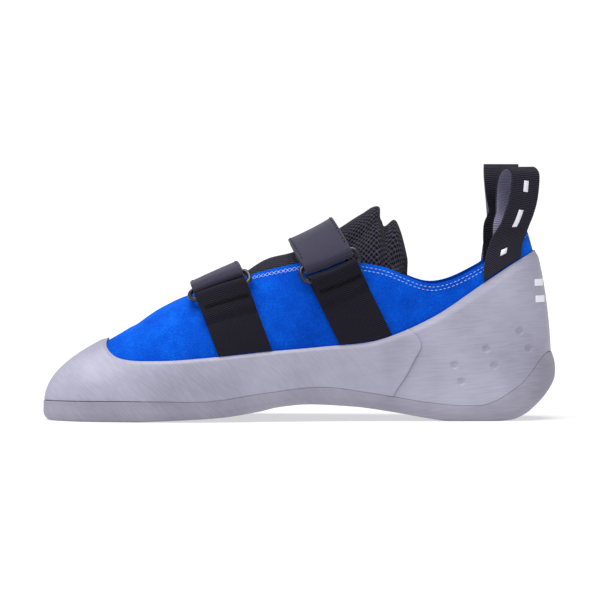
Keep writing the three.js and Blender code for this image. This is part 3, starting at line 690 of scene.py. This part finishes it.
def makeInsole():
    def place(u, v):
        station = u * turn
        return underPoint(station, mix(flatInset, underWidth(station), v), shoe["gap"])

    bm = sheetMesh(insole["grid"], place, insole["map"])
    piece = finishPiece(bm, "insoleBoard", "insole", ("board",), True)
    addWall(piece, shoe["insole"], 1.0)


makeUpper()
print("upper made")
makeRands()
print("rands made")
makeOutsole()
makeInsole()
print("sole made")

# The two bands round the instep: where the middle crosses the ring, the band's tilt in degrees, the ring's
# way down from the ridge, and how far down the outer side the strap's free end comes
bands = {
    "front": {"along": 0.656, "up": 0.83, "tilt": 20.5, "ringAt": 19.0, "freeEnd": 0.75},
    "rear": {"along": 0.436, "up": 0.95, "tilt": 26.5, "ringAt": 27.0, "freeEnd": 0.7},
}
band = {"width": 27.0, "gore": 1.4, "strap": 2.0, "goreTrim": 0.1, "strapTrim": 0.2, "wire": 2.5,
        "ringSpan": 8.2, "ringGap": 0.6, "overhang": 2.6, "steps": 30, "lowest": 2.0, "highest": 10.5,
        "settle": ((2.5, 1.2), (5, 0.55), (8, 0.15)), "climb": ((7.5, 0), (5, 0.5), (2.5, 1.5)),
        "columns": 16, "strapSteps": 4, "goreSteps": 5}
ringLift = bandFoot + band["strap"] + band["ringGap"] + band["wire"] / 2
bandLines = {}


def bandLine(which, across):
    # A line round the instep beside the band's middle: length from the ridge, point, outward way
    key = (which, round(across, 3))
    if key in bandLines:
        return bandLines[key]
    spec = bands[which]
    tilt = math.radians(spec["tilt"])
    toeward = Vector((math.cos(tilt), 0, -math.sin(tilt)))
    centre = Vector((lastBack + spec["along"] * lastLength, 0, spec["up"] * shoe["instep"]))
    reach = centre.dot(toeward) + across

    def find(share, side):
        def sample(middle):
            station = onSide(middle, side)
            angle = mix(overRand(station), math.pi / 2, share)
            return lastPoint(station, angle), station, angle

        middle = search(band["lowest"], band["highest"], 17, lambda at: sample(at)[0].dot(toeward) > reach)
        point, station, angle = sample(middle)
        return [0.0, point, lastNormal(station, angle)]

    steps = band["steps"]
    line = [find(k / steps, -1) for k in range(steps + 1)]
    line += [find(k / steps, 1) for k in reversed(range(steps))]
    for k in range(1, len(line)):
        line[k][0] = line[k - 1][0] + (line[k][1] - line[k - 1][1]).length
    ridge = line[steps][0]
    for sample in line:
        sample[0] -= ridge
    bandLines[key] = line
    return line


def onBand(which, across, length, lift):
    line = bandLine(which, across)
    k = 0
    while k < len(line) - 2 and line[k + 1][0] < length:
        k += 1
    (a, start, before), (b, end, after) = line[k], line[k + 1]
    t = (length - a) / (b - a)
    return start.lerp(end, t) + before.lerp(after, t).normalized() * lift


def smoothRows(rows, steps):  # more rows on a smooth curve through the given ones
    result = []
    for k in range(len(rows) - 1):
        a, b, c = rows[max(k - 1, 0)], rows[k], rows[k + 1]
        d = rows[min(k + 2, len(rows) - 1)]
        for step in range(steps):
            t = step / steps
            result.append([spline(p, q, r, s, t) for p, q, r, s in zip(a, b, c, d)])
    return result + [list(rows[-1])]


def halfTurn(barAt, side, thickness):
    radius = band["wire"] / 2 + band["ringGap"] + thickness / 2
    turns = [math.radians(d) for d in (-90, -60, -30, 0, 30, 60, 90)]
    return [(barAt + side * radius * math.cos(a), ringLift + radius * math.sin(a)) for a in turns]


def runAt(start, end, lift, steps):
    return [(mix(start, end, k / steps), lift) for k in range(steps + 1)]


def foldAt(which, side, thick):  # where a band folds, and how high its lower and upper layers lie
    low = bandFoot + thick / 2
    return bands[which]["ringAt"] + side * band["ringSpan"] / 2, low, low + thick + shoe["gap"]


def strapPath(which, across):  # up the outer side, through the ring and back over itself
    thick = band["strap"]
    barAt, low, high = foldAt(which, -1, thick)
    outer = bandLine(which, across)[0][0]
    return (runAt(outer, barAt - thick, low, 14) + halfTurn(barAt, 1, thick)
            + [(barAt - away * thick, high + above * thick) for away, above in band["settle"]]
            + runAt(barAt - 10 * thick, outer * bands[which]["freeEnd"], high, 9))


def gorePath(which, across):  # up from the rand, over the ring and back under itself
    thick = band["gore"]
    barAt, low, high = foldAt(which, 1, thick)
    inner = bandLine(which, across)[-1][0]
    main = [(barAt + away * thick, high + above * thick) for away, above in band["climb"]]
    flap = [(barAt + away * thick, low) for away, above in reversed(band["climb"])]
    return runAt(inner, barAt + 10 * thick, low, 9) + main + halfTurn(barAt, -1, thick)[::-1] + flap


def alongLengths(points):  # how far each point lies along its line, as shares of the whole, and the whole
    lengths = [0.0]
    for a, b in zip(points, points[1:]):
        lengths.append(lengths[-1] + (b - a).length)
    return [length / lengths[-1] for length in lengths], lengths[-1]


def makeRibbon(name, node, materials, columns, width, rowsAt, thickness, inside=0, flip=False):
    # rowsAt gives the row of points along the ribbon at a place across it
    lines = [rowsAt((j / columns - 0.5) * width) for j in range(columns + 1)]
    rows = len(lines[0]) - 1
    shares, whole = alongLengths(lines[columns // 2])

    def place(u, v):
        return lines[round(v * columns)][round(u * rows)].copy()

    def cloth(u, v):
        return shares[round(u * rows)] * whole, v * width

    bm = sheetMesh((rows, columns), place, cloth)
    piece = finishPiece(bm, name, node, materials, flip)
    addWall(piece, thickness, 0.0, inside)
    addBevel(piece, thickness * 0.3, 3, 60)
    return lines


def makeBands():
    for which in bands:
        for kind, pathOf, slot in (("strap", strapPath, "strap"), ("gore", gorePath, "elastic")):
            def rowsAt(across):
                path = smoothRows(pathOf(which, across), band[kind + "Steps"])
                return [onBand(which, across, length, lift) for length, lift in path]

            makeRibbon(kind + which.capitalize(), kind + "_" + which, (slot,), band["columns"],
                       band["width"], rowsAt, band[kind] - band[kind + "Trim"])
        makeRing(which)


ring = {"around": 12, "corner": 7, "along": 12, "map": (70, 8)}


def makeRing(which):
    half = band["width"] / 2 + band["overhang"]
    corner = band["ringSpan"] / 2 - shoe["gap"]
    at = bands[which]["ringAt"]
    middle = []
    for x, y, start in ((1, 1, 0), (-1, 1, 90), (-1, -1, 180), (1, -1, 270)):
        for k in range(ring["corner"] + 1):
            angle = math.radians(start + 90 * k / ring["corner"])
            across = x * (half - corner) + corner * math.cos(angle)
            length = at + y * (band["ringSpan"] / 2 - corner) + corner * math.sin(angle)
            middle.append(onBand(which, across, length, ringLift))
        if x == y:
            for j in range(1, ring["along"]):
                across = mix(across, -across, 1 / (ring["along"] + 1 - j))
                middle.append(onBand(which, across, length, ringLift))
    centre = onBand(which, 0, at, ringLift)
    up = onBand(which, 0, at, ringLift + 1) - centre
    count = len(middle)

    def place(u, v):
        k = round(u * count) % count
        out = (middle[(k + 1) % count] - middle[k - 1]).cross(up).normalized()
        angle = 2 * math.pi * v
        return middle[k] + (out * math.cos(angle) + up * math.sin(angle)) * band["wire"] / 2

    bm = sheetMesh((count, ring["around"]), place, ring["map"], True)
    finishPiece(bm, "ring" + which.capitalize(), "ring_" + which, ("ring",))


# Tongue: station, half spread in degrees, slide, rise and narrowing of each row, its inner face's way, and
# how far its middle stands up between the straps
tongueRows = [(station, spread, 0.0, rise, 1.0, 0.0, 0.0, crown) for station, spread, rise, crown in (
    (8.9, 16, -0.2, 0.0), (8.4, 27, 0.0, 0.0), (8.0, 38, 0.0, 0.0), (7.5, 42, 0.0, 0.0), (7.0, 44, 0.0, 0.55),
    (6.5, 46, 0.0, 0.0), (6.0, 48, 0.0, 0.0), (5.6, 50, 0.0, 0.0), (5.3, 52, 0.0, 0.0))]
tongueRows += [
    (5.0, 52, 0.0, -0.5, 0.98, 0.8, -1.0, 0.0), (5.0, 50, -0.75, -2.3, 0.93, 0.7, -1.0, 0.0),
    (5.0, 50, -1.75, -2.1, 0.95, 0.9, -1.5, 0.0), (5.0, 50, -2.5, -3.4, 0.93, 1.1, -1.0, 0.0),
    (5.0, 46, -3.1, -5.7, 0.88, 1.2, -0.5, 0.0), (5.0, 42, -3.5, -8.3, 0.82, 1.2, 0.0, 0.0),
]
tongue = {"pad": 4.5, "steps": 7, "across": 34, "gather": 0.8, "rim": 0.82, "inset": 0.8, "endRows": 4.0,
          "shiftOver": 1.5}
# Its soft folds: from and to in x and z, width in mm, and how much of the padding they press in or swell
folds = (
    ((50.8, 108.7), (67.8, 92.9), 2.8, 0.8), ((49.8, 102.9), (44.5, 82.8), 2.4, 0.8),
    ((56.5, 110.0), (58.0, 103.0), 3.0, -0.45), ((46.0, 103.0), (40.5, 84.0), 2.2, -0.3),
    ((66.0, 102.0), (72.0, 97.0), 3.0, -0.3),
)


def roundOff(t):  # 1 up to an edge at 0, then down a quarter circle to nothing at 1
    return math.sqrt(max(0.0, 1 - max(0.0, t) ** 2))


def tonguePoint(row, turned, outside):
    station, spread, slide, rise, narrow, innerSlide, innerRise, crown = row
    ridge = lastPoint(station, math.pi / 2)
    angle = math.pi / 2 - math.radians(spread) * abs(turned)
    at = station if turned > 0 else turn - station
    away = abs(innerSlide) + abs(innerRise) > 0.01
    shift = clamp((abs(innerSlide) + abs(innerRise)) / tongue["shiftOver"])
    depth = shoe["tongueGap"] if outside else shoe["tongueGap"] + tongue["pad"] * (1 - shift)
    point = lastPoint(at, angle) - lastNormal(at, angle) * depth
    shut = narrow if outside or not away else narrow * mix(1, tongue["inset"], shift)
    if not outside:
        slide, rise = slide + innerSlide, rise + innerRise
    point.x += slide * tongue["pad"]
    point.y = ridge.y + (point.y - ridge.y) * shut
    point.z += (rise + crown * (1 - turned ** 2) ** 3) * tongue["pad"]
    return point


def makeTongue():
    rows = smoothRows(tongueRows, tongue["steps"])
    count = len(rows) - 1
    pairs = {}

    def pairAt(k, turned):
        key = (k, round(turned, 4))
        if key not in pairs:
            pairs[key] = (tonguePoint(rows[k], turned, True), tonguePoint(rows[k], turned, False))
        return pairs[key]

    def place(u, v):
        k = round(u * count)
        turned = 4 * v - 1 if v <= 0.5 else 3 - 4 * v
        turned = math.copysign(abs(turned) ** tongue["gather"], turned)
        outer, inner = pairAt(k, turned)
        rim = tongue["rim"]
        ends = min(k, count - k) / tongue["endRows"]
        puff = roundOff((abs(turned) - rim) / (1 - rim)) * roundOff(1 - ends)
        middle = (outer + inner) / 2
        if v > 0.5:
            return middle.lerp(inner, puff)
        pressed = sum(depth * math.exp(-(fromLine(outer, start, end)[1] / width) ** 2)
                      for start, end, width, depth in folds)
        return middle.lerp(outer, puff * (1 - pressed))

    shares, whole = alongLengths([pairAt(k, 0.0)[0] for k in range(count + 1)])
    girth = 2 * alongLengths([pairAt(count // 2, j / 10 - 1)[0] for j in range(21)])[1]

    def cloth(u, v):
        return shares[round(u * count)] * whole, v * girth

    bm = sheetMesh((count, 2 * tongue["across"]), place, cloth, True)
    piece = finishPiece(bm, "paddedTongue", "tongue", ("mesh",))


# Pull loops: height above the collar as a share of the loop's rise, then back and inward as shares of the
# webbing's width, and the turn about the vertical in degrees
loopPaths = {
    "medial": (
        (0.17, 0.54, -0.04, 34), (0.4, 0.7, -0.08, 36), (0.66, 0.775, -0.08, 38), (0.84, 0.74, -0.02, 39),
        (0.93, 0.67, 0.1, 39), (0.955, 0.56, 0.28, 39), (0.91, 0.45, 0.46, 39), (0.77, 0.36, 0.58, 38),
        (0.54, 0.33, 0.6, 36), (0.31, 0.33, 0.5, 34), (0.12, 0.33, 0.34, 34)),
    "lateral": (
        (0.17, 0.2, -0.05, 28), (0.38, 0.18, -0.1, 14), (0.6, 0.14, -0.1, 5), (0.8, 0.11, -0.02, 0),
        (0.95, 0.1, 0.12, 0), (1.0, 0.1, 0.28, 0), (0.95, 0.1, 0.44, 0), (0.8, 0.11, 0.56, 0),
        (0.6, 0.14, 0.6, 5), (0.37, 0.2, 0.5, 14), (0.14, 0.2, 0.34, 28)),
}
# Both ends are sewn to the upper, one outside and one inside; the rows where the foot turns free are evened
# out twice
loop = {"width": 18.4, "thick": 1.5, "trim": 0.2, "height": 134.0, "foot": -9.7, "inside": 14.0,
        "footLean": 0.7, "endLean": 0.6, "footShares": (0, 0.35, 0.7, 1), "endShares": (0, 0.5, 1),
        "columns": 12, "steps": 6, "soften": (3, 4, 5, 6, 3, 4, 5, 6)}
legTop = edgeHeight(0.0, "collar") + 2 * shoe["bandGap"]


def stationAt(x, z, side):
    def beyond(middle):
        station = onSide(middle, side)
        return lastPoint(station, angleAt(station, z)).x > x

    return onSide(search(0.4, lastRow / 2, 22, beyond), side)


def loopRows(side, path, across):
    lean = path[0][1] * loop["width"]

    def onSkin(share, heightOf, lift):
        x, z = loop["foot"] + across - lean * share, shoe["instep"]
        for _ in range(5):
            station = stationAt(x, z, side)
            z = heightOf(station)
        return skin(station, angleAt(station, z), lift)

    def footHeight(station):
        return lastPoint(station, overRand(station)).z + shoe["bandGap"]

    out = bandFoot + loop["thick"] / 2
    into = -shoe["bandGap"] - loop["thick"] / 2
    feet = [onSkin(share ** 2 * loop["footLean"], lambda at: mix(footHeight(at), legTop, share), out)
            for share in loop["footShares"]]
    ends = [onSkin(loop["endLean"], lambda at: mix(legTop, edgeHeight(at, "collar") - loop["inside"], share),
                   into) for share in loop["endShares"]]
    return feet, ends


def makeLoop(side, key):
    path = loopPaths[key]
    step = loop["width"] / 4
    middleFeet, middleEnds = loopRows(side, path, 0.0)
    ahead, behind = loopRows(side, path, step)[0], loopRows(side, path, -step)[0]
    base = middleFeet[-1]
    free = [Vector((loop["foot"] - back * loop["width"], base.y - side * inward * loop["width"],
                    legTop + up * (loop["height"] - legTop))) for up, back, inward, _ in path]

    def rowsAt(across):
        feet, ends = loopRows(side, path, across)
        points = []
        for i, p in enumerate(feet):  # towards its free part the foot straightens across
            forward = (ahead[i] - behind[i]).normalized()
            points.append(p.lerp(middleFeet[i] + forward * across, (i / (len(feet) - 1)) ** 2))
        for i, p in enumerate(free):
            after = free[i + 1] if i + 1 < len(free) else middleEnds[0]
            before = free[i - 1] if i else base
            along = (after - before).normalized()
            yaw = math.radians(path[i][3])
            forward = Vector((math.cos(yaw), side * math.sin(yaw), 0))
            forward = (forward - along * along.dot(forward)).normalized()
            points.append(p + forward * across)
        for i in loop["soften"]:
            points[i] = (points[i - 1] + points[i] * 2 + points[i + 1]) / 4
        return [Vector(row) for row in smoothRows(points + ends, loop["steps"])]

    return makeRibbon("pullLoop" + key.capitalize(), "pull_loop_" + key,
                      ("webbing", "webbingInside"), loop["columns"], loop["width"], rowsAt,
                      loop["thick"] - loop["trim"], 1, side < 0)


makeBands()
print("bands made")
makeTongue()
print("tongue made")
medialLoop = makeLoop(1, "medial")
lateralLoop = makeLoop(-1, "lateral")
print("loops made")

# Stitches
thread = {"pale": 0.18, "dark": 0.26, "proud": 0.05, "inset": 1.3, "pace": 0.01,
          "collarLength": 1.35, "collarPitch": 2.3, "collarEnd": 5.6, "collarRows": (2.0, 3.8),
          "latticeSpan": (6.15, 7.35), "latticeRows": (1.8, 4.0), "latticePitch": 2.4,
          "strapFrom": 3.0, "strapLength": 0.9, "strapPitch": 2.0,
          "zigzagFrom": 5.0, "zigzagHeight": 2.2, "zigzagStep": 1.3}


def addStitch(bm, start, end, radius):
    way = end - start
    turned = way.to_track_quat("Z", "Y").to_matrix().to_4x4()
    size = Vector((radius, radius, way.length / 2 + radius * 0.5))
    matrix = (Matrix.Translation((start + end) / 2 * mm) @ turned @ Matrix.Diagonal((size * mm).to_4d()))
    bmesh.ops.create_icosphere(bm, subdivisions=2, radius=1.0, matrix=matrix, calc_uvs=False)


def stitchPiece(name, runs, radius, material):
    bm = bmesh.new()
    bm.loops.layers.uv.new("cloth")
    for start, end in runs:
        addStitch(bm, start, end, radius)
    return finishPiece(bm, name, None, (material,))


def belowCollar(station, distance, lift):
    angle = edgeAngle(station, "collar")
    step = 0.02
    pace = (lastPoint(station, angle) - lastPoint(station, angle - step)).length / step
    return skin(station, angle - distance / pace, lift)


def walkCollar(low, high, distance, pitch):  # places at an even pitch along the collar
    lift = shoe["upperWall"] + thread["proud"]
    places, station = [belowCollar(low, distance, lift)], low
    gone = 0.0
    before = places[0]
    while station < high:
        station += thread["pace"]
        point = belowCollar(station, distance, lift)
        gone += (point - before).length
        before = point
        if gone >= pitch:
            gone -= pitch
            places.append(point)
    return places


def collarRuns(low, high, distance):
    places = walkCollar(low, high, distance, thread["collarPitch"])
    share = thread["collarLength"] / thread["collarPitch"]
    return [(a, a.lerp(b, share)) for a, b in zip(places, places[1:])]


def latticeRuns(low, high):
    above, below = (walkCollar(low, high, down, thread["latticePitch"]) for down in thread["latticeRows"])
    runs = []
    for a, b, c, d in zip(above, above[1:], below, below[1:]):
        runs += [(a, d), (c, b)]
    return runs


def layerLift(path, length, last):  # how high the first or last layer of a band lies at a length
    lifts = [mix(a[1], b[1], (length - a[0]) / (b[0] - a[0])) for a, b in zip(path, path[1:])
             if a[0] != b[0] and min(a[0], b[0]) <= length <= max(a[0], b[0])]
    return lifts[-1 if last else 0]


def strapStitches(which):  # a row along each long edge of the strap's free end
    runs = []
    for edge in (-1, 1):
        across = edge * (band["width"] / 2 - thread["inset"])
        path = strapPath(which, across)
        outer = bandLine(which, across)[0][0]
        length = foldAt(which, -1, band["strap"])[0] - thread["strapFrom"]
        while length > outer * bands[which]["freeEnd"] + thread["strapPitch"]:
            runs.append([onBand(which, across, at,
                                layerLift(path, at, True) + band["strap"] / 2 + thread["proud"])
                         for at in (length, length - thread["strapLength"])])
            length -= thread["strapPitch"]
    return runs


def goreStitches(which):  # a zigzag through both layers, below the fold over the ring
    runs = []
    top = foldAt(which, 1, band["gore"])[0] + thread["zigzagFrom"]
    down = thread["zigzagHeight"]
    across = thread["inset"] - band["width"] / 2
    step = thread["zigzagStep"]
    while across < band["width"] / 2 - thread["inset"] - step:
        path = gorePath(which, across)
        high, low = (layerLift(path, at, False) + band["gore"] / 2 for at in (top, top + down))
        peak = onBand(which, across + step / 2, top, high)
        for side in (across, across + step):
            runs.append((onBand(which, side, top + down, low), peak))
        across += step
    return runs


def makeStitches():
    runs = []
    for distance in thread["collarRows"]:
        runs += collarRuns(-thread["collarEnd"], thread["collarEnd"], distance)
    stitchPiece("collarStitches", runs, thread["pale"], "thread")
    low, high = thread["latticeSpan"]
    crossed = latticeRuns(low, high) + latticeRuns(turn - high, turn - low)
    stitchPiece("latticeStitches", crossed, thread["pale"], "lattice")
    dark = []
    for which in bands:
        dark += strapStitches(which)
        dark += goreStitches(which)
    stitchPiece("darkStitches", dark, thread["dark"], "darkThread")


makeStitches()
print("stitches made")

# Plain marks: light dashes woven into the loops, and two raised bars on the heel rand
marks = {"dashes": ((0.06, 0.1), (0.2, 0.29), (0.36, 0.42), (0.56, 0.64)), "dashMap": (9, 3), "half": 1,
         "raised": 0.06, "dashWall": 0.15, "barRise": 0.35, "barFoot": 0.1, "barEdge": 0.12, "barMap": (6, 4),
         "bars": ((-32.6, -28.2, 70.0, 73.5), (-33.4, -28.6, 61.5, 65.0))}


def makeDash(lines, side, start, end):
    middle = loop["columns"] // 2
    shares = alongLengths(lines[middle])[0]
    rows = [i for i, share in enumerate(shares) if start <= share <= end]
    left, right = lines[middle - marks["half"]], lines[middle + marks["half"]]

    def place(u, v):
        i = rows[round(u * (len(rows) - 1))]
        out = (lines[middle][i + 1] - lines[middle][i - 1]).cross(right[i] - left[i]).normalized() * side
        return left[i].lerp(right[i], v) + out * (loop["thick"] / 2 + marks["raised"])

    bm = sheetMesh((len(rows) - 1, 2), place, marks["dashMap"])
    piece = finishPiece(bm, "loopDash", None, ("mark",), side < 0)
    addWall(piece, marks["dashWall"], 0.0)


def stationFor(x, z, lift):  # where the heel's outer face reaches a given x
    return search(0.02, 4.0, 20, lambda station: skin(station, angleAt(station, z), lift).x > x)


def makeBar(x0, x1, z0, z1):
    def place(u, v):
        z = mix(z0, z1, v)
        station = mix(stationFor(x0, z, skinBuild), stationFor(x1, z, skinBuild), u)
        return skin(station, angleAt(station, z), skinBuild - marks["barFoot"])

    bm = sheetMesh((10, 6), place, marks["barMap"])
    piece = finishPiece(bm, "heelBar", None, ("mark",), True)
    addWall(piece, marks["barRise"] + marks["barFoot"], 1.0)
    addBevel(piece, marks["barEdge"], 2, 60)


for ends in marks["dashes"]:
    makeDash(medialLoop, 1, *ends)
    makeDash(lateralLoop, -1, *ends)
for corners in marks["bars"]:
    makeBar(*corners)
print("marks made")

# Studio
studio = {"target": (95.3, 0.0, 62.7), "elevation": 1.6, "lens": 300.0, "distance": 2647.0,
          "sky": 0.28, "horizon": 1.03, "fade": (0.06, 0.25), "sun": 4.0, "spread": 55.0,
          "shine": (-0.2, -0.22, -1.0), "floorGlow": 0.56}


def makeStudio():
    bm = bmesh.new()
    bmesh.ops.create_grid(bm, x_segments=1, y_segments=1, size=6.0)
    mesh = meshFrom(bm, "studioFloor")
    floor = addObject("studioFloor", mesh)
    paper, tree, shader = newMaterial("paperSweep", **{
        "Base Color": srgb("#a6a6a8"), "Roughness": 0.9, "Emission Color": srgb("#ffffff"),
        "Emission Strength": studio["floorGlow"]})
    bumpFrom(tree, shader, noise(tree, objectPlace(tree), Scale=300.0), 0.05, 0.2)
    mesh.materials.append(paper)
    world = bpy.data.worlds.new("softStudio")
    world.use_nodes = True
    sky = world.node_tree
    looking = addNode(sky, "ShaderNodeTexCoord").outputs["Generated"]
    dome = remap(sky, axis(sky, looking, "Z"), From_Min=studio["fade"][0], From_Max=studio["fade"][1],
                 To_Min=studio["horizon"], To_Max=studio["sky"])
    sky.links.new(dome, sky.nodes["Background"].inputs["Strength"])
    sky.nodes["Background"].inputs["Color"].default_value = srgb("#ffffff")
    scene = bpy.context.scene
    scene.world = world
    scene.view_settings.view_transform = "Standard"
    sun = bpy.data.lights.new("overheadSoftbox", "SUN")
    sun.energy = studio["sun"]
    sun.angle = math.radians(studio["spread"])
    lamp = addObject("overheadSoftbox", sun)
    lamp.rotation_euler = Vector(studio["shine"]).to_track_quat("-Z", "Y").to_euler()
    camera = addObject("camera", bpy.data.cameras.new("camera"))
    camera.data.lens = studio["lens"]
    camera.data.clip_start = 0.05
    tilt = math.radians(studio["elevation"])
    way = Vector((0, math.cos(tilt), math.sin(tilt)))
    target = Vector(studio["target"])
    camera.location = (target + way * studio["distance"]) * mm
    camera.rotation_euler = (-way).to_track_quat("-Z", "Y").to_euler()
    scene.camera = camera


makeStudio()
print("studio made")
